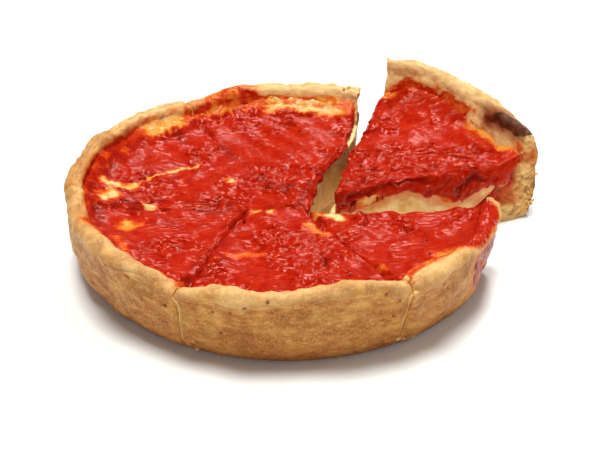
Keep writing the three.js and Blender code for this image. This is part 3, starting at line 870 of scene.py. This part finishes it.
# how far the sauce hangs down the loose slice's right face: distance from the tip and mm
hangLine = np.array([
    (0, 7), (10, 9), (20, 10), (29, 9), (35, 5), (42, 3), (52, 5), (62, 9), (68, 14), (75, 16), (81, 14),
    (86, 11), (94, 8), (103, 10), (115, 13),
], float)


def sauceRelief(p):
    # lumps and wrinkles of the top in mm: billows and long low swells everywhere, and where the pulp stands
    # out, crisp-edged folds, lumps of about 3 mm and fine pulp; returns a painted shade for its low folds
    # and creases, and how pulpy it is too
    flat = p * [1, 1, 0]
    bent = flat + 1.4 * np.stack([noise(flat, 7, 201), noise(flat, 7, 202), np.zeros(len(p))], -1)
    stretched = bent * [0.42, 1.25, 0]  # folds lie a little longer across the pizza than along it
    placed = sum(bell(nearLine(p[:, 0], p[:, 1], line), width) for line, width in pulpPlaces)
    patchy = noise(flat, 19, 206) + 0.6 * noise(flat, 8, 216) + 0.35 * noise(flat, 5, 218)
    pulpy = smooth(patchy + placed, -0.15, 1.0)
    billow = 0.5 * noise(flat * [0.7, 1.2, 0], 13, 203) + (0.3 + 0.4 * pulpy) * ridged(stretched, 6.5, 204)
    folds = (0.16 + 1.5 * pulpy) * ridged(stretched + 17, 3.3, 210)
    lump, own = cells(bent * [0.7, 1.1, 0], 3.2, 205)
    pulp = pulpy * (0.1 + 0.8 * own) * fade(lump, 0.05, 0.6)
    creased = smooth(noise(flat, 12, 217), -0.4, 0.3)
    crease = -0.9 * (0.25 + 0.75 * pulpy) * bell(noise(stretched + 31, 9, 207), 0.07) * creased
    fine = (0.2 + 0.3 * pulpy) * noise(bent * [0.5, 1.2, 0], 1.9, 208)
    low = smooth(-(folds - 0.5) - fine - 0.5 * pulp, -0.1, 0.55)
    hollow = np.maximum(low * 0.5 * pulpy, -1.4 * crease)
    return billow + folds + pulp + crease + fine - 1.0, hollow, pulpy


def saucePiece(name, cutSlice):
    # slab between the cheese and the sauce's own top, which climbs the wall at its edge; it sinks into the
    # closed cuts, is rounded and roughened, and hangs in lobes down an open cut face
    crust, right, left = cutSlice["crust"], cuts[cutSlice["right"]], cuts[cutSlice["left"]]
    isPulled = crust is pulledCrust
    edge, climbFrom = sauceMesh["edge"], sauceMesh["climbFrom"]
    steps = np.linspace(0, 1, sauceMesh["along"])
    topReach, lowReach = edge * steps, sauceMesh["lowEdge"] * steps
    climb = np.clip((topReach - climbFrom) / (edge - climbFrom), 0, 1) ** 2
    topZ = sauceTopAt(topReach) + crust["climb"] * climb
    lowZ = sauceTopAt(lowReach) - crust["sauceThickness"] + pizza["layerGap"]
    a, c, ib, atRight, cutFace, isOpen, quads = sliceBlock(
        cutSlice, sauceMesh["across"], sauceMesh["along"], sauceMesh["thick"])
    thickness = (topZ - lowZ)[ib]
    width = planOf(cutSlice, a, lerp(lowReach[ib], topReach[ib], c))[2]
    groove = np.where(atRight, right["groove"], left["groove"])
    radiusA = np.minimum(np.where(isOpen, sauceMesh["openRadius"], groove), 0.35 * width)
    radiusC = np.minimum(1.2 * radiusA, 0.48 * thickness)
    a, c = roundEdges(a, c, radiusA / width, radiusC / thickness)
    reach, z = lerp(lowReach[ib], topReach[ib], c), lerp(lowZ[ib], topZ[ib], c)
    alongCut = np.stack([reach + 200 * atRight, 0 * z, 0 * z], -1)  # its own stretch of noise for each cut
    drip = np.maximum(0, 1.5 + 3.5 * noise(alongCut, 8, 303) + 1.0 * noise(alongCut, 4, 304))
    if isPulled:
        hang = np.interp(reach, *hangLine.T) * (1 + 0.3 * noise(alongCut, 6, 305))
        drip = np.where(atRight, hang, drip)
    hanging = isOpen & cutFace
    z = z - np.where(hanging, (1 - c) * drip, 0)
    onFace = alongCut + np.stack([0 * z, z, 0 * z], -1)
    crevice = bell(c - 0.68 - 0.22 * noise(alongCut, 11, 308), 0.12)
    crevice *= smooth(noise(alongCut, 15, 309), -0.7, 0.1)
    crevice *= np.where(atRight & isPulled, fade(reach, 90, 98), 0.3)
    lobes = 0.4 + 1.4 * noise(onFace, 6.5, 301) + 2.0 * (ridged(onFace * [0.8, 1, 0], 4.6, 302) - 0.35)
    lobes = np.maximum(lobes + 0.7 * noise(onFace, 2.4, 310), -0.4) - 1.1 * crevice
    setBack = np.where(atRight, right.get("setBack", 0), left.get("setBack", 0)) * smooth(reach, 72, 92)
    out = np.where(isOpen, -0.2 + lobes * (1 - 0.8 * smooth(reach, 102, 110)) - setBack, 0.05)
    x, y, width = planOf(cutSlice, a, reach, out, out, sauceMesh["fade"])[:3]
    angle = angleOf(x, y)
    if isPulled:  # it has slid off two stretches of the wall
        z = z - 3.2 * between(angle, 15, 39, 12) * smooth(reach, 98, 108)
        z = z - 3.0 * between(angle, 65, 84, 6) * smooth(reach, 96, 108)
    else:  # on the right the sauce runs up over the lip
        over = sauceMesh["overLip"]
        share = between(angle, *over["angles"], 10) * smooth(reach, 98, edge) ** 1.5
        grow = 1 + share * over["out"] / np.maximum(reach, 50)
        x, y, z = x * grow, y * grow, z + share * over["up"] * (0.4 + 0.6 * c)
    p = np.stack(bend(crust, x, y, z), -1)
    onPizza = p + [*crust["offset"], 0]
    flat = onPizza * [1, 1, 0]
    relief, hollow, pulpy = sauceRelief(onPizza)
    relief *= 1 - 0.35 * smooth(reach, 106, 114)
    relief += sauceLumps(*p.T[:2]) * (1 - 0.7 * smooth(reach, 96, 110))
    cutAway = np.where(isOpen, farAway, np.minimum(a, 1 - a) * width)
    groove = groove * np.clip(0.55 + 1.1 * noise(flat, 13, 306), 0.1, 1.5)
    sunk = bell(cutAway + 2.1 * noise(flat, 6, 307) + 1.0 * noise(flat, 2.5, 311), 0.6 + 0.8 * groove)
    p[:, 2] += c * (relief + groove * (0.5 * bell(cutAway - 3.5, 2) - 1.5 * sunk))
    # painted shade in the grooves of the closed cuts and in a band beside them
    besideCut = bell(cutAway + 2 * noise(flat, 6, 312), 4) * smooth(noise(flat, 12, 313), -0.4, 0.3)
    hollow = np.maximum(hollow, np.maximum(0.9 * smooth(sunk * groove, 0.2, 1.6), 0.75 * besideCut))
    thin, deep = sauceFields(crust, angleOf(*p.T[:2]), onPizza, reach, c, hollow, hanging)
    # painted shade in the crevice under the sauce hanging down a cut face; a little darker where it is pulpy
    deep = np.maximum(deep, np.maximum(hanging * crevice, 0.1 * pulpy))
    fields = {"thin": thin, "deep": deep, "pulpy": np.maximum(pulpy, 0.8 * hanging)}
    makeMesh(name + "_tomatoSauce", crust, p, quads, fields, tomatoSauce, [name + "_sauce"])


def sauceFields(crust, angle, onPizza, reach, c, hollow, hanging):
    # per vertex: how thin the sauce lies (orange, then yellow, then cream) and deep, a painted shade for its
    # hollows, crevices and cuts, also darker red where it meets the left wall
    x, y = onPizza.T[:2]
    ragged = fractal(onPizza, 4, 401, 3)
    lobed = noise(onPizza, 9, 403)
    thin = (0.42 if crust is roundCrust else 0.25) * smooth(reach + 3 * ragged, 107, 113)
    thin *= 1 - 0.6 * between(angle, 144, 196, 16)
    deep = np.clip(0.65 * hollow, 0, 0.9) * smooth(c, 0.5, 1)
    if crust is roundCrust:
        uneven = 0.9 + 0.25 * noise(onPizza, 5, 404)
        for line, width, strength in cheeseMarks:
            away = nearLine(x, y, line) + (0.9 + 0.55 * width) * ragged + 0.6 * lobed
            share = np.clip(1.15 - np.maximum(away, 0) / (2.1 * width), 0, 1) ** 1.3
            thin = np.maximum(thin, strength * share * uneven)
        for line, width, strength in deepMarks:
            deep = np.maximum(deep, strength * bell(nearLine(x, y, line), width))
        bare = smooth(reach + 2 * lobed + 1.5 * ragged, 103, 108)
        bare *= 0.78 - (0.2 + 0.4 * ragged) * smooth(reach + 1.5 * ragged, 109, 112)
        thin = np.maximum(thin, between(angle, 71, 99, 8) * bare)
    for low, high, soft, strength, varies, sways, frays, start, full in thinEdges[crust["kind"]]:
        share = between(angle, low, high, soft) * smooth(reach + sways * lobed + frays * ragged, start, full)
        thin = np.maximum(thin, (strength + varies * ragged) * share)
    if crust is roundCrust:
        thin *= 1 - 0.85 * between(angle, 324, 360, 8) * smooth(reach, 98, 106)
        atWall = smooth(reach + 3 * ragged, 102, 107) * fade(reach, 110, 114)
        deep = np.maximum(deep, (0.45 + 0.4 * lobed) * between(angle, 144, 202, 14) * atWall)
    else:
        patch = bell(reach - 21, 8, 4) * bell(c - 0.42, 0.2, 4)  # a pale patch near the tip of the right face
        thin = np.maximum(thin, hanging * (x > y) * patch * (0.8 + 0.2 * ragged))
    return np.maximum(thin, hanging * 0.5 * fade(c + 0.12 * ragged, 0.08, 0.3)), deep


cheeseMesh = {"across": 34, "along": 120, "thick": 24}


def cheesePiece(name, cutSlice):
    # block between the base or wall and the sauce, with soft folds on the faces that show at the gap
    crust, gap = cutSlice["crust"], pizza["layerGap"]
    isPulled = crust is pulledCrust

    def topAt(r):
        return sauceTopAt(r) - crust["sauceThickness"]

    start = (0, pizza["baseThickness"] + gap)
    lowLine = resample(np.concatenate([[start], soften(insideLine[:5]) + [-gap, gap]]), cheeseMesh["along"])
    lowLine = resample(lowLine[lowLine[:, 1] < topAt(lowLine[:, 0]) - 0.8], cheeseMesh["along"])
    topReach = np.linspace(0, 1, cheeseMesh["along"]) * lowLine[-1, 0]
    topLine = np.stack([topReach, topAt(topReach)], -1)
    a, c, ib, atRight, cutFace, isOpen, quads = sliceBlock(
        cutSlice, cheeseMesh["across"], cheeseMesh["along"], cheeseMesh["thick"])
    reach, z = lerp(lowLine[ib], topLine[ib], c[:, None]).T
    alongCut = np.stack([reach, z, 90.0 * (cutFace & atRight)], -1)  # its own noise for each cut face
    folds = 0.55 * noise(alongCut, 9, 501) + 0.45 * noise(alongCut * [1, 0.6, 1], 4, 502)
    folds += 0.15 * noise(alongCut, 1.8, 503)
    out = -0.45 + cutFace * isOpen * (folds - 0.9 * isPulled)
    p = np.stack(bend(crust, *planOf(cutSlice, a, reach, out, out)[:2], z), -1)
    ragged = fractal(alongCut, 5, 504, 3)
    drape = isPulled * cutFace * atRight * np.interp(reach, *hangLine.T)  # the sauce hangs down this far
    stain = smooth(z + drape + 3.5 * ragged, topAt(reach) - 4, topAt(reach) + 0.5) * 0.75
    stain *= 1 - 0.8 * smooth(reach, 74, 90) * (not isPulled)
    stain = np.maximum(stain, 0.4 * smooth(noise(alongCut * [0.6, 1, 1], 7, 505) + 0.4 * ragged, 0.3, 0.9))
    if isPulled:
        beforeWall = reach - 88 - 0.93 * (z - 11.5)
        stain = np.maximum(stain, smooth(beforeWall + 4 * ragged, -9, -1) * 0.85)
    fields = {"stain": stain}
    makeMesh(name + "_mozzarella", crust, p, quads, fields, mozzarella, [name + "_cheese"])


for sliceName, cutSlice in slices.items():
    for build in (crustPiece, cheesePiece, saucePiece):
        build(sliceName, cutSlice)
    print(sliceName, "made")


def roundLumps(centres, sizes, turns, steps, seed, rough):
    # many rounded lumps in one mesh: the skin of a little block blown up to a ball, its radius varied by
    # noise, stretched to three half widths in mm, turned about the upright, and moved to its centre
    (ia, ib, ic), quads = block(steps, steps, steps)
    cube = np.tan((np.stack([ia, ib, ic], -1) / (steps - 1) * 2 - 1) * np.pi / 4)
    ball = cube / np.linalg.norm(cube, axis=1, keepdims=True)
    count, corners = len(centres), len(ball)
    number = np.repeat(np.arange(count), corners)
    direction = np.tile(ball, (count, 1))
    radius = 1 + rough * noise(direction * 1.3 + 7.0 * number[:, None], 1, seed)
    p = direction * radius[:, None] * sizes[number]
    cos, sin = np.cos(turns)[number], np.sin(turns)[number]
    x, y, z = p.T
    p = np.stack([x * cos - y * sin, x * sin + y * cos, z], -1) + centres[number]
    return p, (quads[None] + corners * np.arange(count)[:, None, None]).reshape(-1, 4)


def sauceHeightAt(p):  # height of the round pizza's sauce at each plan point
    r = np.hypot(p[:, 0], p[:, 1])
    return sauceTopAt(r) + sauceLumps(p[:, 0], p[:, 1]) * (1 - 0.7 * smooth(r, 96, 110)) + sauceRelief(p)[0]


herbs = {
    "placed": [(102, -28), (75, -46), (71, -26), (75, -64), (-44, -54)],
    "scattered": 14, "reach": 98, "length": (0.5, 1.3), "width": (0.3, 0.6), "thickness": 0.16, "seed": 5,
    "colour": "4a2a12", "dark": "241208", "vein": 0.8,
}


def herbPiece():  # thin flecks of dried herb lying on the sauce, a few placed and the rest scattered evenly
    rng = np.random.default_rng(herbs["seed"])
    turn = rng.uniform(0, 2 * np.pi, herbs["scattered"])
    out = herbs["reach"] * np.sqrt(rng.uniform(0, 1, herbs["scattered"]))
    plan = np.concatenate([herbs["placed"], np.stack([out * np.cos(turn), out * np.sin(turn)], -1)])
    angle = angleOf(*(plan - pizza["cutCentre"]).T)
    plan = plan[(angle > 76) & (angle < 348)]  # none in the gap
    centres = np.concatenate([plan, np.zeros((len(plan), 1))], 1)
    centres[:, 2] = sauceHeightAt(centres) + 0.1
    count = len(centres)
    sizes = np.stack([rng.uniform(*herbs["length"], count), rng.uniform(*herbs["width"], count),
                      np.full(count, herbs["thickness"])], -1)
    p, faces = roundLumps(centres, sizes, rng.uniform(0, np.pi, count), 4, 91, 0.35)
    material, tree = newMaterial("driedOregano")  # dried leaf: matt, dark olive brown
    place = addNode(tree, "TexCoord", output="Object")
    vein = addNode(tree, "TexNoise", {"Vector": place, "Scale": perMm(herbs["vein"]), "Detail": 2})
    colour = addNode(tree, "ValToRGB", [vein], stops=[(0.35, herbs["dark"]), (0.65, herbs["colour"])])
    finishMaterial(tree, colour, 0.6, vein, 0.1, {"IOR": 1.45, "Specular IOR Level": 0.1})
    makeMesh("herbFlecks", roundCrust, p, faces, {}, material)


crumbs = {
    "outside": [  # angle, height and size in mm of crumbs stuck to the round wall
        (245.2, 3.2, 1.1), (244.6, 1.4, 0.9), (245.6, 12, 0.8), (300.6, 7.5, 1.3), (302.5, 5.5, 1.1),
        (303.9, 9, 0.9), (284.6, 0.9, 0.9), (299.6, 44.5, 1.2), (300.8, 46.2, 1.3), (299.0, 47.5, 0.8),
        (251, 1.0, 0.8), (262, 0.8, 0.7), (306.5, 3.0, 1.0), (308.5, 1.2, 0.8), (228, 1.0, 0.7),
    ],
    "onTop": [  # angle, distance out and size of crumbs on the rim
        (72.3, 121, 1.5), (73.6, 119.2, 1.1), (300.2, 119.0, 1.5), (299.0, 121.4, 1.2), (301.4, 122.4, 0.9),
    ],
    "endCount": 26, "endSize": (0.5, 1.3), "endHeight": (3, 34), "seed": 8,
}


def crumbPiece():
    # torn dough crumbs: some on the outer wall and the rim by the cuts, the rest on the loose slice's end
    rng = np.random.default_rng(crumbs["seed"])
    baseSteps, count = 24, crumbs["endCount"]
    angle, up, size = np.array(crumbs["outside"]).T
    wall = crustSections(roundCrust, baseSteps)[0][baseSteps:]
    radius = np.interp(up, wall[:, 1], wall[:, 0])
    around = np.radians(angle)
    centres = [np.stack(bend(roundCrust, radius * np.cos(around), radius * np.sin(around), up), -1)]
    sizes = [np.repeat(size[:, None], 3, 1)]
    angle, out, size = np.array(crumbs["onTop"]).T
    around, up = np.radians(angle), roundCrust["height"](angle) + 0.2 * size
    centres.append(np.stack([out * np.cos(around), out * np.sin(around), up], -1))
    sizes.append(np.repeat(size[:, None], 3, 1))
    outside, inside = (line[baseSteps:] for line in crustSections(pulledCrust, baseSteps))
    high = rng.uniform(*crumbs["endHeight"], count)
    low, far = (np.interp(high, line[:, 1], line[:, 0]) for line in (inside, outside))
    reach = lerp(np.maximum(low, 117), far - 0.8, rng.uniform(0, 1, count) ** 0.6)
    steps = np.linspace(0, 1, 60)
    along = cutPoint(cuts["pulledRight"], steps)
    face = cutPoint(cuts["pulledRight"], np.interp(reach, np.hypot(*along.T), steps))
    centres.append(np.stack(bend(pulledCrust, *face.T, high), -1) + [*pizza["pulledCentre"], 0])
    sizes.append(rng.uniform(*crumbs["endSize"], (count, 3)) * [1, 0.6, 0.9])
    centres, sizes = np.concatenate(centres), np.concatenate(sizes)
    p, faces = roundLumps(centres, sizes, rng.uniform(0, np.pi, len(centres)), 5, 95, 0.4)
    fields = {name: np.zeros(len(p)) for name in ("lip", "sauced", "cheesy", "char", "stain", "thin", "deep")}
    fields.update(crumb=np.full(len(p), 0.7), brown=0.35 + 0.4 * noise(p, 6, 96))
    makeMesh("crustCrumbs", roundCrust, p, faces, fields, bakedDough)


# a lump of cheese that has sagged into the gap
cheeseBlob = {"centre": (28, 34, 2), "halfSize": (5.5, 19, 11), "turn": -14, "rough": 0.2}


def cheeseBlobPiece():
    centre, size = np.array([cheeseBlob["centre"]], float), np.array([cheeseBlob["halfSize"]], float)
    p, faces = roundLumps(centre, size, np.radians([cheeseBlob["turn"]]), 21, 97, cheeseBlob["rough"])
    p[:, 2] = np.maximum(p[:, 2], 0)
    stain = 0.4 * smooth(noise(p, 5, 98), 0.1, 0.9)
    makeMesh("cheeseBlob", roundCrust, p, faces, {"stain": stain}, mozzarella)


herbPiece()
crumbPiece()
cheeseBlobPiece()
print("herbs, crumbs and cheese blob made")


studio = {
    "floor": "f7fbf8", "floorSize": 8, "world": 0.09, "worldTint": (1, 0.97, 0.93, 1),
    "above": {"from": (-0.06, -0.06, 1.0), "spread": 20, "strength": 2.9},
    "front": {"from": (-0.1, -1.0, 0.55), "spread": 40, "strength": 0.45},
    "behind": {"from": (0.16, 0.62, 0.78), "spread": 13, "strength": 1.5},
    "side": {"from": (0.9, -0.05, 0.7), "spread": 40, "strength": 0.3},
}
camera = {"place": (-0.00077, -0.70291, 0.41076), "elevation": 29.78, "lens": 80.70, "sensor": 36}


def makeFloor():
    half = studio["floorSize"] / 2
    mesh = bpy.data.meshes.new("floor")
    corners = [(-half, -half, 0), (half, -half, 0), (half, half, 0), (-half, half, 0)]
    mesh.from_pydata(corners, [], [(0, 1, 2, 3)])
    material, tree = newMaterial("whitePaper")  # a smooth matt paper sweep
    shader = addNode(tree, "BsdfPrincipled", {
        "Base Color": studio["floor"], "Roughness": 0.9, "Specular IOR Level": 0.1})
    addNode(tree, "OutputMaterial", {"Surface": shader})
    mesh.materials.append(material)
    floor = bpy.data.objects.new("floor", mesh)
    bpy.context.scene.collection.objects.link(floor)


def makeLight(name, settings):  # a far soft box: a sun with a wide disc, which lights the whole floor alike
    light = bpy.data.lights.new(name, "SUN")
    light.angle = np.radians(settings["spread"])
    light.energy = settings["strength"]
    lamp = bpy.data.objects.new(name, light)
    lamp.location = settings["from"]
    lamp.rotation_euler = Vector(settings["from"]).to_track_quat("Z", "Y").to_euler()
    bpy.context.scene.collection.objects.link(lamp)


makeFloor()
for lightName in ("above", "front", "behind", "side"):
    makeLight(lightName, studio[lightName])
world = bpy.data.worlds.new("studio")
world.use_nodes = True
world.node_tree.nodes["Background"].inputs["Color"].default_value = studio["worldTint"]
world.node_tree.nodes["Background"].inputs["Strength"].default_value = studio["world"]
bpy.context.scene.world = world
bpy.context.scene.view_settings.view_transform = "Standard"

cameraData = bpy.data.cameras.new("camera")
cameraData.lens = camera["lens"]
cameraData.sensor_width = camera["sensor"]
cameraObject = bpy.data.objects.new("camera", cameraData)
cameraObject.location = camera["place"]
cameraObject.rotation_euler = (np.radians(90 - camera["elevation"]), 0, 0)
bpy.context.scene.collection.objects.link(cameraObject)
bpy.context.scene.camera = cameraObject
print("stage, light and camera set")
